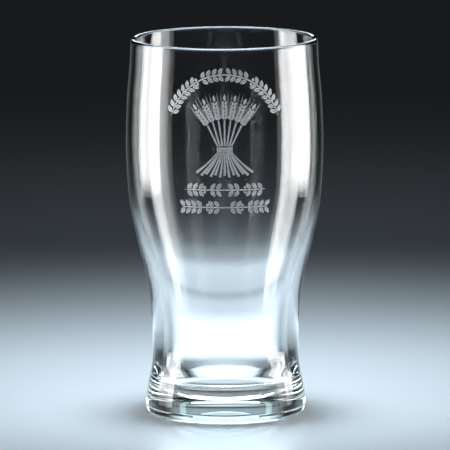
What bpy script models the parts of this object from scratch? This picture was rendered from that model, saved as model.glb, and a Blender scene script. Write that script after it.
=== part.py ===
# Tulip pint glass: one blown vessel, with its frosted decoration as four thin skins.
# Built in metres, +Z up. The origin is on the axis, on the plane the glass stands on,
# and the decoration faces -Y. Sizes below are in millimetres and degrees.

import math

import bmesh
import bpy
from mathutils import Vector

MM = 0.001

# Vessel
AROUND = 60                # facets round the axis
OUTER_RADII = (            # height, outer radius: foot, waist, bowl, mouth
    (4.6, 34.3),
    (12.0, 33.2),
    (20.0, 31.6),
    (31.0, 31.15),
    (48.0, 31.95),
    (62.0, 34.25),
    (76.0, 37.7),
    (91.0, 40.6),
    (113.0, 42.0),
    (135.0, 41.45),
    (149.0, 40.3),
    (159.8, 39.8),
)
WALL_THICKNESS = (         # height, thickness: heavy at the waist, thin in the bowl
    (16.0, 3.0),
    (22.0, 4.2),
    (34.0, 4.7),
    (47.0, 4.4),
    (62.0, 3.5),
    (80.0, 2.7),
    (100.0, 2.3),
    (159.8, 2.3),
)
WALL_STEPS = 18            # rings on each side of the wall
RIM_HEIGHT = 1.2           # height of the fire-polished rounding at the mouth
RIM_STEPS = 6

# Base
FOOT_ROUNDING = 3.2        # from the foot's side to the face it stands on
FOOT_STEPS = 4
BEARING_WIDTH = 2.4        # flat ring that touches the table
HOLLOW_DEPTH = 2.0         # shallow dome under the base
HOLLOW_STEPS = 5
FLOOR_HEIGHT = 6.0         # top of the glass base, on the axis
FLOOR_SQUARENESS = 2.1     # 2 gives an elliptical dish, more gives a flatter floor
FLOOR_STEPS = 7

# Frosted decoration, laid out flat and then wrapped on the bowl
SKIN_GAP = 0.3             # between the glass and the skin's back
SKIN_THICKNESS = 0.25
LONGEST_EDGE = 6.0         # longer edges are split, so that the flat shapes can bend
STEM_HALF_WIDTH = 0.4

LEAF_PITCH = 2.52          # between leaf pairs along a stem
LEAF_LENGTH = 3.3
LEAF_HALF_WIDTH = 0.7
LEAF_FOOT_SHARE = 0.65     # of that, where the leaf meets its stem

ARCH_CENTRE_HEIGHT = 125.4
ARCH_RADIUS = 24.8
ARCH_HALF_SPAN = 73.0      # degrees each side of the top
# Pairs of leaves in half a stem, counted from its end. No pair grows at a bare place,
# which parts the stem into sprays. Lean is a leaf's angle to its stem: under 90 it
# points to the middle, over 90 away from it.
ARCH = {"pairs": 12, "bare": 7, "lean": 50.0}
UPPER_SPRIG = {"height": 101.6, "half_length": 17.4, "pairs": 6, "bare": 3, "lean": 50.0}
LOWER_SPRIG = {"height": 94.1, "half_length": 18.9, "pairs": 7, "bare": 4, "lean": 130.0}

SHEAF_TIE_HEIGHT = 119.0
SHEAF_EAR_TURN = 12.0      # degrees between two ears
SHEAF_SIDE_EARS = 3        # ears each side of the middle one
SHEAF_EAR_FOOT = 12.5      # distance from the tie
SHEAF_EAR_LENGTH = 11.0
SHEAF_EAR_HALF_WIDTH = 1.5
SHEAF_EAR_BELLY = 0.45     # place of the widest part, as a share of the ear
SHEAF_TIE_HALF_WIDTH = 3.4
SHEAF_TIE_HALF_HEIGHT = 1.3
SHEAF_STRAW_SPREAD = 12.0  # from the middle to the outermost straw's end
SHEAF_STRAW_LENGTH = 12.3
SHEAF_STRAW_LIFT = 0.1     # share of the length by which the outermost straw ends higher
SHEAF_NOTCH_DEPTH = 3.0
SHEAF_NOTCH_SHARE = 0.25   # of the spread, from a straw's end in to the notch

SHARP_ANGLE = 40.0         # degrees; a sharper edge isn't shaded smooth
MERGE_DISTANCE = 0.01      # points nearer than this are one
GLASS_COLOUR = (0.86, 0.92, 0.90, 1.0)
FROST_COLOUR = (0.74, 0.76, 0.77, 1.0)


def remove_old_objects():
    for old in list(bpy.data.objects):
        bpy.data.objects.remove(old, do_unlink=True)


def make_material(name, colour, roughness, transmission):
    material = bpy.data.materials.new(name)
    material.use_nodes = True
    shader = material.node_tree.nodes["Principled BSDF"]
    shader.inputs["Base Color"].default_value = colour
    shader.inputs["Roughness"].default_value = roughness
    shader.inputs["Metallic"].default_value = 0.0
    shader.inputs["Transmission Weight"].default_value = transmission
    shader.inputs["IOR"].default_value = 1.52
    material.diffuse_color = colour
    return material


def along(stations, height):
    """Value at a height, on a smooth curve through stations of (height, value)."""
    last = len(stations) - 1
    span = 0
    while span < last - 1 and height > stations[span + 1][0]:
        span += 1

    def slope(index):
        low = stations[max(index - 1, 0)]
        high = stations[min(index + 1, last)]
        return (high[1] - low[1]) / (high[0] - low[0])

    (start, start_value), (end, end_value) = stations[span], stations[span + 1]
    length = end - start
    t = (height - start) / length
    start_part = (2.0 * t**3 - 3.0 * t**2 + 1.0) * start_value
    start_part += (t**3 - 2.0 * t**2 + t) * length * slope(span)
    end_part = (3.0 * t**2 - 2.0 * t**3) * end_value
    end_part += (t**3 - t**2) * length * slope(span + 1)
    return start_part + end_part


def outer_radius(height):
    return along(OUTER_RADII, height)


def inner_radius(height):
    return outer_radius(height) - along(WALL_THICKNESS, height)


def steps(count):
    """Fractions from just above 0 up to 1."""
    return [(index + 1) / count for index in range(count)]


def vessel_outline():
    """(radius, height) from the axis under the base, up the outside, down the inside."""
    foot_height, foot_radius = OUTER_RADII[0]
    bearing_outer = foot_radius - FOOT_ROUNDING
    bearing_inner = bearing_outer - BEARING_WIDTH
    outline = [(0.0, HOLLOW_DEPTH)]
    for part in steps(HOLLOW_STEPS):
        outline.append((bearing_inner * part, HOLLOW_DEPTH * (1.0 - part**2)))
    outline.append((bearing_outer, 0.0))
    for part in steps(FOOT_STEPS):
        turn = 0.5 * math.pi * part
        radius = bearing_outer + FOOT_ROUNDING * math.sin(turn)
        outline.append((radius, foot_height * (1.0 - math.cos(turn))))

    rim_start = OUTER_RADII[-1][0]
    for part in steps(WALL_STEPS):
        height = foot_height + (rim_start - foot_height) * part
        outline.append((outer_radius(height), height))
    rim_middle = 0.5 * (outer_radius(rim_start) + inner_radius(rim_start))
    rim_half = outer_radius(rim_start) - rim_middle
    for part in steps(RIM_STEPS):
        turn = math.pi * part
        radius = rim_middle + rim_half * math.cos(turn)
        outline.append((radius, rim_start + RIM_HEIGHT * math.sin(turn)))

    floor_edge = WALL_THICKNESS[0][0]
    for part in steps(WALL_STEPS):
        height = rim_start + (floor_edge - rim_start) * part
        outline.append((inner_radius(height), height))
    power = 2.0 / FLOOR_SQUARENESS
    for part in steps(FLOOR_STEPS)[:-1]:
        turn = 0.5 * math.pi * (1.0 - part)
        radius = inner_radius(floor_edge) * math.sin(turn)**power
        outline.append((radius, floor_edge - (floor_edge - FLOOR_HEIGHT) * math.cos(turn)**power))
    outline.append((0.0, FLOOR_HEIGHT))
    return outline


def finish_object(name, shape, material, smooth):
    bmesh.ops.recalc_face_normals(shape, faces=shape.faces[:])
    if shape.calc_volume(signed=True) < 0.0:
        bmesh.ops.reverse_faces(shape, faces=shape.faces[:])
    mesh = bpy.data.meshes.new(name)
    shape.to_mesh(mesh)
    shape.free()
    if smooth:
        mesh.shade_smooth()
        mesh.set_sharp_from_angle(angle=math.radians(SHARP_ANGLE))
    mesh.materials.append(material)
    made = bpy.data.objects.new(name, mesh)
    bpy.context.scene.collection.objects.link(made)
    return made


def make_vessel(material):
    shape = bmesh.new()
    points = [shape.verts.new((radius * MM, 0.0, height * MM)) for radius, height in vessel_outline()]
    lines = [shape.edges.new(pair) for pair in zip(points, points[1:])]
    bmesh.ops.spin(
        shape,
        geom=points + lines,
        cent=(0.0, 0.0, 0.0),
        axis=(0.0, 0.0, 1.0),
        angle=math.tau,
        steps=AROUND,
        use_merge=True,
    )
    bmesh.ops.remove_doubles(shape, verts=shape.verts[:], dist=MERGE_DISTANCE * MM)
    return finish_object("glass_vessel", shape, material, True)


def leaf_outline(place, heading, side, lean):
    """From the foot's near end, round the tip, to the foot's far end."""
    forward = Vector((math.cos(heading), math.sin(heading)))
    away = Vector((-forward.y, forward.x)) * side
    turn = heading + side * math.radians(lean)
    tipward = Vector((math.cos(turn), math.sin(turn)))
    across = Vector((-tipward.y, tipward.x)) * side * LEAF_HALF_WIDTH
    foot = place + away * STEM_HALF_WIDTH
    belly = foot + tipward * LEAF_LENGTH * 0.5
    half_foot = forward * LEAF_HALF_WIDTH * LEAF_FOOT_SHARE
    tip = foot + tipward * LEAF_LENGTH
    return [foot - half_foot, belly + across, tip, belly - across, foot + half_foot]


def leafy_side(stem, length, side, leaves):
    """One side of half a stem with its leaves, from the stem's end to the middle."""
    outline = []
    places = [(index + 0.5) * LEAF_PITCH for index in range(leaves["pairs"]) if index != leaves["bare"]]
    for distance in [0.0] + places + [length]:
        place, heading = stem(distance)
        if distance in places:
            outline += leaf_outline(place, heading, side, leaves["lean"])
        else:
            away = Vector((-math.sin(heading), math.cos(heading))) * side
            outline.append(place + away * STEM_HALF_WIDTH)
    return outline


def mirrored(outline):
    """The outline's mirror image across the middle line, in reverse order."""
    return [Vector((-point.x, point.y)) for point in reversed(outline) if abs(point.x) > MERGE_DISTANCE]


def garland(stem, length, leaves):
    """Closed outline of a whole stem, which is alike on both sides of the middle.

    stem(distance) gives the place and heading at a distance from the left end.
    """
    above = leafy_side(stem, length, 1, leaves)
    below = leafy_side(stem, length, -1, leaves)
    left = below[::-1] + above
    return left + mirrored(left)


def arch_outline():
    length = ARCH_RADIUS * math.radians(ARCH_HALF_SPAN)

    def stem(distance):
        turn = (length - distance) / ARCH_RADIUS
        place = Vector((-math.sin(turn), math.cos(turn))) * ARCH_RADIUS
        return place + Vector((0.0, ARCH_CENTRE_HEIGHT)), turn

    return garland(stem, length, ARCH)


def sprig_outline(sprig):
    def stem(distance):
        return Vector((distance - sprig["half_length"], sprig["height"])), 0.0

    return garland(stem, sprig["half_length"], sprig)


def sheaf_outline():
    """Ears of barley fanned over a tie, and straw ends spread below it."""
    tie = Vector((0.0, SHEAF_TIE_HEIGHT))

    def from_tie(angle, distance):
        turn = math.radians(angle)
        return tie + Vector((-math.sin(turn), math.cos(turn))) * distance

    half = [from_tie(0.0, SHEAF_EAR_FOOT + SHEAF_EAR_LENGTH)]
    for ear in range(SHEAF_SIDE_EARS + 1):
        middle = SHEAF_EAR_TURN * ear
        belly = SHEAF_EAR_FOOT + SHEAF_EAR_BELLY * SHEAF_EAR_LENGTH
        belly_turn = math.degrees(SHEAF_EAR_HALF_WIDTH / belly)
        if ear:
            half.append(from_tie(middle - belly_turn, belly))
            half.append(from_tie(middle, SHEAF_EAR_FOOT + SHEAF_EAR_LENGTH))
        half.append(from_tie(middle + belly_turn, belly))
        half.append(from_tie(middle + 0.5 * SHEAF_EAR_TURN, SHEAF_EAR_FOOT))
    half.append(tie + Vector((-SHEAF_TIE_HALF_WIDTH, SHEAF_TIE_HALF_HEIGHT)))
    half.append(tie + Vector((-SHEAF_TIE_HALF_WIDTH, -SHEAF_TIE_HALF_HEIGHT)))
    for straw in (1.0, 0.5):
        drop = SHEAF_STRAW_LENGTH * (1.0 - SHEAF_STRAW_LIFT * straw**2)
        straw_end = tie + Vector((-SHEAF_STRAW_SPREAD * straw, -drop))
        half.append(straw_end)
        half.append(straw_end + Vector((SHEAF_NOTCH_SHARE * SHEAF_STRAW_SPREAD, SHEAF_NOTCH_DEPTH)))
    half.append(tie + Vector((0.0, -SHEAF_STRAW_LENGTH)))
    return half + mirrored(half)


def split_long_edges(shape):
    shape.normal_update()
    bmesh.ops.triangulate(shape, faces=shape.faces[:], ngon_method="EAR_CLIP")
    too_long = [edge for edge in shape.edges if edge.calc_length() > LONGEST_EDGE]
    while too_long:
        bmesh.ops.subdivide_edges(shape, edges=too_long, cuts=1)
        bmesh.ops.triangulate(shape, faces=shape.faces[:])
        too_long = [edge for edge in shape.edges if edge.calc_length() > LONGEST_EDGE]


def wrapped(point, depth):
    """A point of the flat layout, as far off the bowl's surface as depth says."""
    turn = point.x / max(radius for height, radius in OUTER_RADII)
    radius = outer_radius(point.y) + depth
    return Vector((radius * math.sin(turn), -radius * math.cos(turn), point.y)) * MM


def make_skin(name, outline, material):
    shape = bmesh.new()
    shape.faces.new([shape.verts.new((point.x, point.y, 0.0)) for point in outline])
    split_long_edges(shape)
    back = shape.verts[:]
    flat_places = {vert: vert.co.copy() for vert in back}
    made = bmesh.ops.extrude_face_region(shape, geom=shape.faces[:], use_keep_orig=True)
    front = [item for item in made["geom"] if isinstance(item, bmesh.types.BMVert)]
    for vert in front:
        vert.co = wrapped(vert.co, SKIN_GAP + SKIN_THICKNESS)
    for vert in back:
        vert.co = wrapped(flat_places[vert], SKIN_GAP)
    return finish_object(name, shape, material, False)


def main():
    remove_old_objects()
    glass = make_material("clear_glass", GLASS_COLOUR, 0.02, 1.0)
    frost = make_material("frosted_glass", FROST_COLOUR, 0.6, 0.3)
    make_vessel(glass)
    make_skin("frosted_leaf_arch", arch_outline(), frost)
    make_skin("frosted_barley_sheaf", sheaf_outline(), frost)
    make_skin("frosted_upper_sprig", sprig_outline(UPPER_SPRIG), frost)
    make_skin("frosted_lower_sprig", sprig_outline(LOWER_SPRIG), frost)


main()
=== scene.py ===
import math

import bmesh
import bpy
from mathutils import Matrix, Vector


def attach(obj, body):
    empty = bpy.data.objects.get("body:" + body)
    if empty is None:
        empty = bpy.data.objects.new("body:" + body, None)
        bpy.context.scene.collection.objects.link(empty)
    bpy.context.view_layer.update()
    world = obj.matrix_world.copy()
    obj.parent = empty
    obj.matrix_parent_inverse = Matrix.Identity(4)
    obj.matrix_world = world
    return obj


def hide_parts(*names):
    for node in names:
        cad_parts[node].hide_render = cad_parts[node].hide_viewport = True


mm = 0.001
mergeDistance = 0.001 * mm
evenly = (1, 1, 1)          # how a pattern is squeezed along x, y and z
sideways = (0.05, 0.05, 1)  # drawn out into level lines

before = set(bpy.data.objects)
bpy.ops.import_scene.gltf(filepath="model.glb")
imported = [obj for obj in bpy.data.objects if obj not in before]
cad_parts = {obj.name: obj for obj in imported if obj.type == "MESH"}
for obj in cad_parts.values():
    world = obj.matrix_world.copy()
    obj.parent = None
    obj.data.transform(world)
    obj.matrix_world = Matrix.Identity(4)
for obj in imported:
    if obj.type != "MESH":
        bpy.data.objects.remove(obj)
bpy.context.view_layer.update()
print("frame loaded:", ", ".join(sorted(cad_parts)))


def newMaterial(name):
    material = bpy.data.materials.new(name)
    material.use_nodes = True
    tree = material.node_tree
    return material, tree, tree.nodes["Principled BSDF"]


def addNode(tree, kind, **inputs):
    node = tree.nodes.new(kind)
    for name, value in inputs.items():
        node.inputs[name.replace("_", " ")].default_value = value
    return node


def mathNode(tree, operation, first, second):
    node = tree.nodes.new("ShaderNodeMath")
    node.operation = operation
    for socket, value in zip(node.inputs, (first, second)):
        if isinstance(value, bpy.types.NodeSocket):
            tree.links.new(value, socket)
        else:
            socket.default_value = value
    return node.outputs["Value"]


def rampNode(tree, factor, stops):
    # stops are (place, value), blended smoothly
    node = tree.nodes.new("ShaderNodeValToRGB")
    ramp = node.color_ramp
    ramp.interpolation = "EASE"
    while len(ramp.elements) < len(stops):
        ramp.elements.new(0.5)
    for element, (place, value) in zip(ramp.elements, stops):
        element.position = place
        element.color = (value, value, value, 1)
    tree.links.new(factor, node.inputs["Fac"])
    return node.outputs["Color"]


def heightShare(tree):
    # height on the glass, from 0 at the foot to 1 at 200 mm
    place = tree.nodes.new("ShaderNodeTexCoord")
    split = tree.nodes.new("ShaderNodeSeparateXYZ")
    tree.links.new(place.outputs["Object"], split.inputs["Vector"])
    return mathNode(tree, "DIVIDE", split.outputs["Z"], 200 * mm)


def noiseOn(tree, stretch, scale, detail):
    # noise on the piece's own coordinates, squeezed by stretch along x, y and z
    place = tree.nodes.new("ShaderNodeTexCoord")
    mapping = addNode(tree, "ShaderNodeMapping", Scale=stretch)
    noise = addNode(tree, "ShaderNodeTexNoise", Scale=scale, Detail=detail)
    tree.links.new(place.outputs["Object"], mapping.inputs["Vector"])
    tree.links.new(mapping.outputs["Vector"], noise.inputs["Vector"])
    return noise.outputs["Fac"]


def bumpOn(tree, shader, height, distance):
    bump = addNode(tree, "ShaderNodeBump", Strength=1.0, Distance=distance)
    tree.links.new(height, bump.inputs["Height"])
    tree.links.new(bump.outputs["Normal"], shader.inputs["Normal"])


def meshObject(name, shape, material, smooth=True):
    mesh = bpy.data.meshes.new(name)
    shape.to_mesh(mesh)
    shape.free()
    if smooth:
        mesh.shade_smooth()
    mesh.materials.append(material)
    made = bpy.data.objects.new(name, mesh)
    bpy.context.scene.collection.objects.link(made)
    return made


# Sizes of the glass in millimetres. The two lists give (height, value), foot to mouth.
glass = {
    "outer": [(4.6, 34.3), (12.0, 33.2), (20.0, 31.6), (31.0, 31.15), (48.0, 31.95), (62.0, 34.25),
              (76.0, 37.7), (91.0, 40.6), (113.0, 42.0), (135.0, 41.45), (149.0, 40.3), (159.8, 39.8)],
    "wall": [(16.0, 3.0), (22.0, 4.2), (34.0, 4.7), (47.0, 4.4), (62.0, 3.5), (80.0, 2.7), (100.0, 2.3),
             (159.8, 2.3)],
    "rimRise": 1.2,
    "footRounding": 3.2,
    "bearing": 2.4,
    "hollow": 2.0,
    "floorHeight": 6.0,
    "floorSquareness": 2.1,     # 2 would be a plain ellipse
    "around": 224,
    "hollowSteps": 16,
    "footSteps": 10,
    "wallSteps": 90,
    "rimSteps": 14,
    "floorSteps": 36,
}
glassFinish = {
    "ior": 1.52,
    "bumpHeight": 0.00006,
    "waves": (26.0, 1.0),       # scale and detail of the noise
    "ripples": (260.0, 2.0),
    "rippleShare": 0.22,        # of the waves' height
    "rippled": [(0.08, 0), (0.2, 0.7), (0.32, 1), (0.44, 0)],
    "scuffs": (900.0, 3.0),
    "scuffRoughness": 0.6,
    "scuffed": [(0.0, 1), (0.001, 1), (0.004, 0)],
    "tint": (0.72, 0.93, 0.88, 1),
    "tintDensity": 6.0,
}


def along(stations, height):
    last = len(stations) - 1
    span = 0
    while span < last - 1 and height > stations[span + 1][0]:
        span += 1

    def slope(index):
        low, high = stations[max(index - 1, 0)], stations[min(index + 1, last)]
        return (high[1] - low[1]) / (high[0] - low[0])

    (start, startValue), (end, endValue) = stations[span], stations[span + 1]
    length = end - start
    t = (height - start) / length
    leaving = (2 * t**3 - 3 * t**2 + 1) * startValue + (t**3 - 2 * t**2 + t) * length * slope(span)
    arriving = (3 * t**2 - 2 * t**3) * endValue + (t**3 - t**2) * length * slope(span + 1)
    return leaving + arriving


def outerRadius(height):
    return along(glass["outer"], height)


def innerRadius(height):
    return outerRadius(height) - along(glass["wall"], height)


def parts(count):
    return [(index + 1) / count for index in range(count)]


def glassOutline():
    # from the axis under the base, up the outside, over the rim and down the inside
    footHeight, footRadius = glass["outer"][0]
    bearingOuter = footRadius - glass["footRounding"]
    bearingInner = bearingOuter - glass["bearing"]
    outline = [(0.0, glass["hollow"])]
    for part in parts(glass["hollowSteps"]):
        outline.append((bearingInner * part, glass["hollow"] * (1 - part**2)))
    outline.append((bearingOuter, 0.0))
    for part in parts(glass["footSteps"]):
        turn = 0.5 * math.pi * part
        radius = bearingOuter + glass["footRounding"] * math.sin(turn)
        outline.append((radius, footHeight * (1 - math.cos(turn))))
    mouth = glass["outer"][-1][0]
    for part in parts(glass["wallSteps"]):
        height = footHeight + (mouth - footHeight) * part
        outline.append((outerRadius(height), height))
    middle = 0.5 * (outerRadius(mouth) + innerRadius(mouth))
    half = outerRadius(mouth) - middle
    for part in parts(glass["rimSteps"]):
        turn = math.pi * part
        outline.append((middle + half * math.cos(turn), mouth + glass["rimRise"] * math.sin(turn)))
    floorEdge = glass["wall"][0][0]
    for part in parts(glass["wallSteps"]):
        height = mouth + (floorEdge - mouth) * part
        outline.append((innerRadius(height), height))
    power = 2 / glass["floorSquareness"]
    for part in parts(glass["floorSteps"])[:-1]:
        turn = 0.5 * math.pi * (1 - part)
        drop = (floorEdge - glass["floorHeight"]) * math.cos(turn)**power
        outline.append((innerRadius(floorEdge) * math.sin(turn)**power, floorEdge - drop))
    outline.append((0.0, glass["floorHeight"]))
    return outline


def clearGlass():
    finish = glassFinish
    material, tree, shader = newMaterial("clearGlass")
    shader.inputs["Base Color"].default_value = (1, 1, 1, 1)
    shader.inputs["Transmission Weight"].default_value = 1.0
    shader.inputs["IOR"].default_value = finish["ior"]
    # broad drawn waves all over, and fine level ripples where the bowl was stretched to the waist
    waves = noiseOn(tree, evenly, *finish["waves"])
    ripples = noiseOn(tree, sideways, *finish["ripples"])
    stretched = rampNode(tree, heightShare(tree), finish["rippled"])
    ripples = mathNode(tree, "MULTIPLY", ripples, stretched)
    ripples = mathNode(tree, "MULTIPLY", ripples, finish["rippleShare"])
    bumpOn(tree, shader, mathNode(tree, "ADD", waves, ripples), finish["bumpHeight"])
    # the ring it stands on is scuffed
    scuffs = noiseOn(tree, evenly, *finish["scuffs"])
    scuffs = mathNode(tree, "MULTIPLY", scuffs, finish["scuffRoughness"])
    standing = rampNode(tree, heightShare(tree), finish["scuffed"])
    tree.links.new(mathNode(tree, "MULTIPLY", scuffs, standing), shader.inputs["Roughness"])
    tint = addNode(tree, "ShaderNodeVolumeAbsorption", Color=finish["tint"], Density=finish["tintDensity"])
    tree.links.new(tint.outputs["Volume"], tree.nodes["Material Output"].inputs["Volume"])
    return material


def makeGlass():
    shape = bmesh.new()
    points = [shape.verts.new((radius * mm, 0, height * mm)) for radius, height in glassOutline()]
    lines = [shape.edges.new(pair) for pair in zip(points, points[1:])]
    bmesh.ops.spin(shape, geom=points + lines, cent=(0, 0, 0), axis=(0, 0, 1), angle=math.tau,
                   steps=glass["around"], use_merge=True)
    bmesh.ops.remove_doubles(shape, verts=shape.verts[:], dist=mergeDistance)
    bmesh.ops.recalc_face_normals(shape, faces=shape.faces[:])
    piece = meshObject("pintGlass", shape, clearGlass())
    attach(piece, "root")
    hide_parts("glass_vessel")


makeGlass()
print("glass made")


# The frosting is drawn flat, x along the bowl and y up it, and then wrapped on the bowl.
frosting = {
    "lift": 0.05,           # off the glass
    "thickness": 0.16,
    "longestEdge": 2.0,     # so that long straws follow the bowl
    "stemHalf": 0.3,
    "stemEndShare": 0.35,   # of the stem's width, at its two ends
    "stemTaper": 6.0,       # how fast it grows to its full width
    "stemSteps": 64,
    "leafLength": 3.3,
    "leafHalf": 0.78,
    "leafFullness": (1.37, 0.87),   # at the leaf's foot and at its tip
    "leafGap": 0.06,        # from the stem
    "leafSegments": 16,
    "veinHalf": 0.07,
    "leafPitch": 2.52,
    "berry": 0.6,
    "berryGap": 0.15,
    "berrySegments": 14,
}
frostFinish = {
    "grain": (2600.0, 2.0), # scale and detail of the noise
    "cloud": (420.0, 3.0),
    "grainShare": 0.6,      # and the rest is cloud
    "tones": [(0.36, (0.50, 0.52, 0.54, 1)), (0.62, (0.86, 0.88, 0.90, 1))],
    "roughness": 0.5,
    "grainRoughness": 0.3,
    "bumpHeight": 0.00004,
    "ior": 1.52,
    "alpha": 0.9,
}
arch = {"centre": 125.4, "radius": 24.8, "halfSpan": 73.0, "pairs": 12, "bare": 7, "lean": 50.0}
sprigs = {
    "frostedUpperSprig": {"node": "frosted_upper_sprig", "height": 101.6, "halfLength": 17.4, "pairs": 6,
                          "bare": 3, "lean": 50.0},
    "frostedLowerSprig": {"node": "frosted_lower_sprig", "height": 94.1, "halfLength": 18.9, "pairs": 7,
                          "bare": 4, "lean": 130.0},
}
sheaf = {
    "tie": 119.0,
    "earTurn": 12.0,        # degrees between two ears
    "sideEars": 3,
    "earFoot": 12.5,        # from the tie
    "grains": 5,            # pairs in an ear
    "grainPitch": 1.55,
    "grainLength": 2.5,
    "grainHalf": 0.6,
    "grainAside": 0.2,      # from the ear's middle
    "grainLean": 24.0,
    "grainTaper": 0.06,     # each pair is this share smaller than the one below
    "tipStretch": 1.3,
    "tipSize": 0.9,
    "awnLength": 4.2,
    "awnHalf": 0.07,
    "awnAside": 1.25,
    "awnFoot": 0.95,        # share of the grain's length
    "awnLean": 0.16,
    "awnSteps": 4,
    "strawHalf": 0.36,
    "strawSteps": 10,
    "strawSpread": 12.0,    # from the middle to the outermost straw's end
    "strawLength": 12.0,
    "strawGather": 0.9,     # share of the tie's width that the straws below it fill
    "stalkGather": 0.86,    # and the stalks above it
    "stalkBow": 0.6,
    "stalkGap": 0.2,        # from the ear
    "strawBelly": 2.7,
    "strawGap": 0.25,       # from the tie
    "shortStraw": 0.93,     # every other straw is cut shorter
    "tieHalfWidth": 3.3,
    "tieSag": 0.25,
    "tieBand": 0.66,
    "tieFill": 0.84,        # share of a band that is frosted
    "tieSteps": 12,
    "tieBands": 3,
}


def frostedGlass():
    finish = frostFinish
    material, tree, shader = newMaterial("frostedGlass")
    grain = noiseOn(tree, evenly, *finish["grain"])
    cloud = noiseOn(tree, evenly, *finish["cloud"])
    fine = mathNode(tree, "MULTIPLY", grain, finish["grainShare"])
    broad = mathNode(tree, "MULTIPLY", cloud, 1 - finish["grainShare"])
    mixed = mathNode(tree, "ADD", fine, broad)
    tone = addNode(tree, "ShaderNodeValToRGB")
    for element, (place, colour) in zip(tone.color_ramp.elements, finish["tones"]):
        element.position = place
        element.color = colour
    tree.links.new(mixed, tone.inputs["Fac"])
    tree.links.new(tone.outputs["Color"], shader.inputs["Base Color"])
    rough = mathNode(tree, "MULTIPLY", grain, finish["grainRoughness"])
    tree.links.new(mathNode(tree, "ADD", rough, finish["roughness"]), shader.inputs["Roughness"])
    bumpOn(tree, shader, mixed, finish["bumpHeight"])
    shader.inputs["IOR"].default_value = finish["ior"]
    shader.inputs["Alpha"].default_value = finish["alpha"]
    return material


def halvedLeaf(length, half, vein):
    # a pointed leaf from the origin along +x, parted by a clear vein
    shape = bmesh.new()
    bmesh.ops.create_circle(shape, cap_ends=True, segments=frosting["leafSegments"], radius=1.0)
    atFoot, atTip = frosting["leafFullness"]
    for vert in shape.verts:
        share = 0.5 * (1 + vert.co.x)
        pointed = math.sqrt(max(0.0, 1 - vert.co.x**2))
        fullness = atFoot + (atTip - atFoot) * share
        vert.co = Vector((length * share, vert.co.y * pointed * half * fullness, 0))
    if vein:
        bmesh.ops.bisect_plane(shape, geom=shape.verts[:] + shape.edges[:] + shape.faces[:], dist=0.0001,
                               plane_co=(0, vein, 0), plane_no=(0, 1, 0), clear_inner=True)
        twin = bmesh.ops.duplicate(shape, geom=shape.faces[:])
        verts = [item for item in twin["geom"] if isinstance(item, bmesh.types.BMVert)]
        faces = [item for item in twin["geom"] if isinstance(item, bmesh.types.BMFace)]
        bmesh.ops.scale(shape, verts=verts, vec=(1, -1, 1))
        bmesh.ops.reverse_faces(shape, faces=faces)
    return asStamp(shape)


def disc(radius):
    shape = bmesh.new()
    bmesh.ops.create_circle(shape, cap_ends=True, segments=frosting["berrySegments"], radius=radius)
    return asStamp(shape)


def asStamp(shape):
    mesh = bpy.data.meshes.new("stamp")
    shape.to_mesh(mesh)
    shape.free()
    return mesh


def stampOn(shape, stamp, place, turn, size=1.0):
    before = len(shape.verts)
    shape.from_mesh(stamp)
    shape.verts.ensure_lookup_table()
    turned = Matrix.Rotation(turn, 4, "Z") @ Matrix.Scale(size, 4)
    matrix = Matrix.Translation((place.x, place.y, 0)) @ turned
    bmesh.ops.transform(shape, verts=shape.verts[before:], matrix=matrix)


def ribbon(shape, route, half, count):
    # a flat strip along route(t), t from 0 to 1, and half(t) wide to each side of it
    before = len(shape.verts)
    bmesh.ops.create_grid(shape, x_segments=count, y_segments=1, size=1.0)
    shape.verts.ensure_lookup_table()
    step = 0.01
    for vert in shape.verts[before:]:
        t = 0.5 * (vert.co.x + 1)
        heading = (route(t + step) - route(t - step)).normalized()
        vert.co = (route(t) + Vector((-heading.y, heading.x)) * vert.co.y * half(t)).to_3d()


def leafyStem(shape, stem, length, leaves):
    # stem(distance) gives place and heading, from the stem's left end to its middle
    size = frosting
    leaf = halvedLeaf(size["leafLength"], size["leafHalf"], size["veinHalf"])
    berry = disc(size["berry"])
    for index in range(leaves["pairs"]):
        place, heading = stem((index + 0.5) * size["leafPitch"])
        for side in (1, -1):
            away = Vector((-math.sin(heading), math.cos(heading))) * side
            if index == leaves["bare"]:
                stamp = berry
                turn = 0.0
                foot = place + away * (size["stemHalf"] + size["berry"] + size["berryGap"])
            else:
                stamp = leaf
                turn = heading + side * math.radians(leaves["lean"])
                foot = place + away * (size["stemHalf"] + size["leafGap"])
            stampOn(shape, stamp, foot, turn)
            stampOn(shape, stamp, Vector((-foot.x, foot.y)), math.pi - turn)

    def halfWidth(t):
        return size["stemHalf"] * min(1.0, size["stemEndShare"] + size["stemTaper"] * min(t, 1 - t))

    def wholeRoute(t):
        distance = 2 * length * t
        if distance <= length:
            return stem(distance)[0]
        place = stem(2 * length - distance)[0]
        return Vector((-place.x, place.y))

    ribbon(shape, wholeRoute, halfWidth, size["stemSteps"])


widest = max(radius for height, radius in glass["outer"])


def wrapped(point):
    turn = point.x / widest
    radius = outerRadius(point.y) + point.z
    return Vector((radius * math.sin(turn), -radius * math.cos(turn), point.y)) * mm


def frostedPiece(name, node, shape):
    bmesh.ops.recalc_face_normals(shape, faces=shape.faces[:])
    long = [edge for edge in shape.edges if edge.calc_length() > frosting["longestEdge"]]
    bmesh.ops.subdivide_edges(shape, edges=long, cuts=1)
    made = bmesh.ops.extrude_face_region(shape, geom=shape.faces[:], use_keep_orig=True)
    front = [item for item in made["geom"] if isinstance(item, bmesh.types.BMVert)]
    bmesh.ops.translate(shape, verts=shape.verts[:], vec=(0, 0, frosting["lift"]))
    bmesh.ops.translate(shape, verts=front, vec=(0, 0, frosting["thickness"]))
    for vert in shape.verts:
        vert.co = wrapped(vert.co)
    bmesh.ops.recalc_face_normals(shape, faces=shape.faces[:])
    piece = meshObject(name, shape, frost, smooth=False)
    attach(piece, "root")
    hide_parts(node)
    decorated.objects.link(piece)


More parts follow.
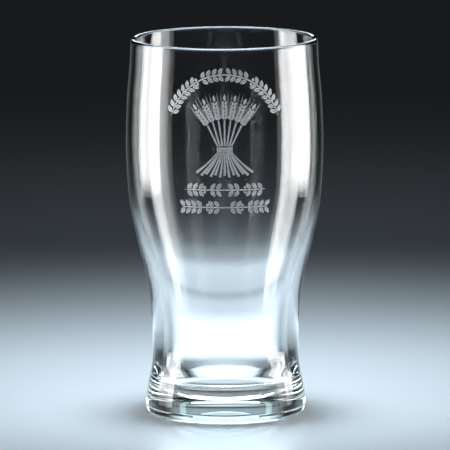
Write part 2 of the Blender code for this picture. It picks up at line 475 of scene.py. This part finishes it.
def makeArch():
    length = arch["radius"] * math.radians(arch["halfSpan"])

    def stem(distance):
        turn = (length - distance) / arch["radius"]
        place = Vector((-math.sin(turn), math.cos(turn))) * arch["radius"]
        return place + Vector((0, arch["centre"])), turn

    shape = bmesh.new()
    leafyStem(shape, stem, length, arch)
    frostedPiece("frostedLeafArch", "frosted_leaf_arch", shape)


def makeSprig(name, sprig):
    def stem(distance):
        return Vector((distance - sprig["halfLength"], sprig["height"])), 0.0

    shape = bmesh.new()
    leafyStem(shape, stem, sprig["halfLength"], sprig)
    frostedPiece(name, sprig["node"], shape)


def makeEar(shape, foot, heading, grain, tip):
    # heading is the ear's turn from straight up, positive to the left
    up = Vector((-math.sin(heading), math.cos(heading)))
    right = Vector((up.y, -up.x))
    upTurn = heading + math.radians(90)
    for index in range(sheaf["grains"]):
        level = foot + up * sheaf["grainPitch"] * index
        taper = 1 - sheaf["grainTaper"] * index
        for side in (1, -1):
            aside = right * side
            grainTurn = upTurn - side * math.radians(sheaf["grainLean"])
            stampOn(shape, grain, level + aside * sheaf["grainAside"], grainTurn, taper)
            start = level + aside * sheaf["awnAside"] + up * (sheaf["grainLength"] * sheaf["awnFoot"])
            lean = up + aside * sheaf["awnLean"]

            def awn(t):
                return start + lean * sheaf["awnLength"] * t * taper

            ribbon(shape, awn, lambda t: sheaf["awnHalf"] * (1.1 - t), sheaf["awnSteps"])
    top = foot + up * sheaf["grainPitch"] * sheaf["grains"]
    stampOn(shape, tip, top, upTurn, sheaf["tipSize"])


def makeSheaf():
    shape = bmesh.new()
    tie = Vector((0, sheaf["tie"]))
    grain = halvedLeaf(sheaf["grainLength"], sheaf["grainHalf"], 0)
    tip = halvedLeaf(sheaf["grainLength"] * sheaf["tipStretch"], sheaf["grainHalf"], 0)
    ears = 2 * sheaf["sideEars"] + 1
    bandHalf = 0.5 * sheaf["tieBands"] * sheaf["tieBand"]
    for index in range(ears):
        side = index - sheaf["sideEars"]
        heading = math.radians(sheaf["earTurn"]) * side
        up = Vector((-math.sin(heading), math.cos(heading)))
        earFoot = tie + up * sheaf["earFoot"]
        gathered = -sheaf["tieHalfWidth"] * sheaf["stalkGather"] * side / sheaf["sideEars"]
        waist = tie + Vector((gathered, bandHalf + sheaf["strawGap"]))
        makeEar(shape, earFoot, heading, grain, tip)

        def stalk(t):
            blend = t * t * (3 - 2 * t)
            straight = waist.lerp(earFoot - up * sheaf["stalkGap"], t)
            return straight + Vector((0, sheaf["stalkBow"] * (blend - t)))

        ribbon(shape, stalk, lambda t: sheaf["strawHalf"], sheaf["strawSteps"])
    straws = 2 * ears - 1
    for index in range(straws):
        share = 2 * index / (straws - 1) - 1
        gathered = -sheaf["tieHalfWidth"] * sheaf["strawGather"] * share
        start = tie + Vector((gathered, -bandHalf - sheaf["strawGap"]))
        cut = 1.0 if index % 2 else sheaf["shortStraw"]
        drop = sheaf["strawLength"] * (1 - 0.1 * share**2) * cut
        end = tie + Vector((-sheaf["strawSpread"] * share, -drop))

        def straw(t):
            return start.lerp(end, t) + Vector((sheaf["strawBelly"] * t * (1 - t) * share, 0))

        ribbon(shape, straw, lambda t: sheaf["strawHalf"] * (0.55 + t), sheaf["strawSteps"])
    for band in range(sheaf["tieBands"]):
        level = (band - 0.5 * (sheaf["tieBands"] - 1)) * sheaf["tieBand"]

        def wrap(t):
            across = 2 * t - 1
            sag = sheaf["tieSag"] * (1 - across**2)
            return tie + Vector((sheaf["tieHalfWidth"] * across, level - sag))

        ribbon(shape, wrap, lambda t: 0.5 * sheaf["tieFill"] * sheaf["tieBand"], sheaf["tieSteps"])
    frostedPiece("frostedBarleySheaf", "frosted_barley_sheaf", shape)


frost = frostedGlass()
decorated = bpy.data.collections.new("decorated")
makeArch()
makeSheaf()
for name, sprig in sprigs.items():
    makeSprig(name, sprig)
for stamp in [mesh for mesh in bpy.data.meshes if not mesh.users]:
    bpy.data.meshes.remove(stamp)
print("frosting made")


floorLook = {"colour": (0.8, 0.8, 0.8, 1), "roughness": 0.35, "radius": 8.0, "around": 128}


def makeFloor():
    material, tree, shader = newMaterial("paleFloor")
    shader.inputs["Base Color"].default_value = floorLook["colour"]
    shader.inputs["Roughness"].default_value = floorLook["roughness"]
    shape = bmesh.new()
    bmesh.ops.create_circle(shape, cap_ends=True, segments=floorLook["around"], radius=floorLook["radius"])
    made = meshObject("floor", shape, material, smooth=False)
    return made


floor = makeFloor()
onlyFloor = bpy.data.collections.new("onlyFloor")
onlyFloor.objects.link(floor)
offFloor = bpy.data.collections.new("offFloor")
offFloor.objects.link(floor)
offFloor.collection_objects[0].light_linking.link_state = "EXCLUDE"


# Soft panels: the tall ones at both sides draw the glass's edges, and the low one behind it
# glows through the waist. Each shines forwards only, fades at its borders and hides nothing.
white = (1, 1, 1)
cool = (0.72, 0.88, 1.0)
sidePanel = {
    "width": 0.31, "height": 0.6, "radiance": 11.0, "tint": white, "seen": True,
    "upward": [(0.0, 0.3), (0.06, 1), (0.85, 1), (1.0, 0)],
}
panels = {
    "leftPanel": {
        **sidePanel, "centre": (-0.39, 0.035, 0.3), "turn": 90,
        "across": [(0.0, 0), (0.03, 0.1), (0.17, 0.1), (0.2, 1), (0.35, 1), (0.5, 0.6), (0.92, 0.6),
                   (1.0, 0)],
    },
    "rightPanel": {
        **sidePanel, "centre": (0.39, 0.035, 0.3), "turn": -90,
        "across": [(0.0, 0), (0.08, 0.7), (0.3, 0.7), (0.4, 1), (0.46, 1), (0.5, 0.36), (0.8, 0.36),
                   (0.83, 0.1), (0.97, 0.1), (1.0, 0)],
    },
    "glowCard": {
        "width": 0.12, "height": 0.07, "radiance": 1.3, "tint": cool, "seen": False,
        "centre": (0, 0.12, 0.035), "turn": 0,
        "across": [(0.0, 0), (0.25, 1), (0.75, 1), (1.0, 0)],
        "upward": [(0.0, 1), (0.21, 1), (0.29, 0.26), (0.335, 0.02), (0.38, 0.24), (0.5, 0.38),
                   (0.6, 0.11), (0.72, 0)],
    },
}


def panelMaterial(name, panel):
    material, tree, shader = newMaterial(name)
    tree.nodes.remove(shader)
    place = tree.nodes.new("ShaderNodeUVMap")
    split = tree.nodes.new("ShaderNodeSeparateXYZ")
    tree.links.new(place.outputs["UV"], split.inputs["Vector"])
    across = rampNode(tree, split.outputs["X"], panel["across"])
    upward = rampNode(tree, split.outputs["Y"], panel["upward"])
    facing = tree.nodes.new("ShaderNodeNewGeometry")
    behind = mathNode(tree, "MULTIPLY", facing.outputs["Backfacing"], panel["radiance"])
    front = mathNode(tree, "SUBTRACT", panel["radiance"], behind)
    glow = addNode(tree, "ShaderNodeEmission", Color=(*panel["tint"], 1))
    strength = mathNode(tree, "MULTIPLY", mathNode(tree, "MULTIPLY", across, upward), front)
    tree.links.new(strength, glow.inputs["Strength"])
    clear = tree.nodes.new("ShaderNodeBsdfTransparent")
    both = tree.nodes.new("ShaderNodeAddShader")
    tree.links.new(glow.outputs["Emission"], both.inputs[0])
    tree.links.new(clear.outputs["BSDF"], both.inputs[1])
    tree.links.new(both.outputs["Shader"], tree.nodes["Material Output"].inputs["Surface"])
    return material


def lightPanel(name, panel):
    shape = bmesh.new()
    shape.loops.layers.uv.new("UVMap")
    bmesh.ops.create_grid(shape, x_segments=1, y_segments=1, size=0.5, calc_uvs=True)
    size = Matrix.Diagonal((panel["width"], panel["height"], 1, 1))
    upright = Matrix.Rotation(math.radians(90), 4, "X")
    turned = Matrix.Rotation(math.radians(panel["turn"]), 4, "Z")
    placed = Matrix.Translation(panel["centre"]) @ turned @ upright @ size
    bmesh.ops.transform(shape, verts=shape.verts[:], matrix=placed)
    made = meshObject(name, shape, panelMaterial(name, panel), smooth=False)
    made.light_linking.receiver_collection = offFloor
    made.visible_camera = panel["seen"]


for name, panel in panels.items():
    lightPanel(name, panel)

# Softboxes: lit is the collection that each one lights, and beam its spread in degrees.
softBoxes = {
    "poolLight": {"place": (0, 0.05, 0.95), "aim": (0, 0.05, 0), "size": (0.3, 0.3), "radiance": 2.55,
                  "tint": cool, "beam": 35.0, "lit": onlyFloor},
    "tailLight": {"place": (0, 0.45, 1.1), "aim": (0, 0.45, 0), "size": (0.3, 0.3), "radiance": 0.2,
                  "tint": cool, "beam": 50.0, "lit": onlyFloor},
    "overhead": {"place": (0, 0, 1.3), "aim": (0, 0, 0), "size": (1.2, 1.2), "radiance": 0.8,
                 "tint": cool, "beam": 180.0, "lit": offFloor},
    "backLight": {"place": (0, 1.4, 0.8), "aim": (0, 0, 0.15), "size": (1.0, 0.8), "radiance": 5.0,
                  "tint": cool, "beam": 180.0, "lit": offFloor},
    "frostLight": {"place": (0.2, -1.0, 1.0), "aim": (0, 0, 0.12), "size": (0.5, 0.5), "radiance": 8.0,
                   "tint": white, "beam": 180.0, "lit": decorated},
}
for name, x in (("leftEdgeLight", -0.105), ("rightEdgeLight", 0.105)):
    softBoxes[name] = {"place": (x, 0.3, 0.1), "aim": (x, 0, 0.1), "size": (0.02, 0.2), "radiance": 0.4,
                       "tint": (0.8, 1, 0.98), "beam": 180.0, "lit": offFloor}


def softBox(name, box):
    lamp = bpy.data.lights.new(name, "AREA")
    lamp.shape = "RECTANGLE"
    lamp.size, lamp.size_y = box["size"]
    lamp.energy = box["radiance"] * math.pi * lamp.size * lamp.size_y
    lamp.color = box["tint"]
    lamp.spread = math.radians(box["beam"])
    made = bpy.data.objects.new(name, lamp)
    made.location = box["place"]
    towards = Vector(box["aim"]) - Vector(box["place"])
    made.rotation_euler = towards.to_track_quat("-Z", "Y").to_euler()
    bpy.context.scene.collection.objects.link(made)
    made.light_linking.receiver_collection = box["lit"]


for name, box in softBoxes.items():
    softBox(name, box)

darkRoom = (0.011, 0.012, 0.014, 1)
world = bpy.data.worlds.new("studio")
world.use_nodes = True
world.node_tree.nodes["Background"].inputs["Color"].default_value = darkRoom
bpy.context.scene.world = world

view = {
    "distance": 3.05,
    "elevation": 8.6,
    "frameWidth": 0.1917,       # what fits across the picture at the glass
    "target": (0, 0, 0.0805),
    "roll": -0.26,
    "furthest": 30.0,
    "bounces": 24,              # light passes many walls of glass
    "mirrorBounces": 12,
}
camera = bpy.data.objects.new("camera", bpy.data.cameras.new("camera"))
bpy.context.scene.collection.objects.link(camera)
tilt = math.radians(view["elevation"])
camera.location = Vector(view["target"]) + view["distance"] * Vector((0, -math.cos(tilt), math.sin(tilt)))
camera.rotation_euler = (math.radians(90) - tilt, 0, 0)
camera.rotation_euler.rotate_axis("Z", math.radians(view["roll"]))
camera.data.lens = camera.data.sensor_width * view["distance"] / view["frameWidth"]
camera.data.clip_end = view["furthest"]
bpy.context.scene.camera = camera

scene = bpy.context.scene
scene.view_settings.view_transform = "Standard"
scene.cycles.max_bounces = view["bounces"]
scene.cycles.transmission_bounces = view["bounces"]
scene.cycles.glossy_bounces = view["mirrorBounces"]
scene.cycles.use_denoising = True
print("floor, lights and camera ready")
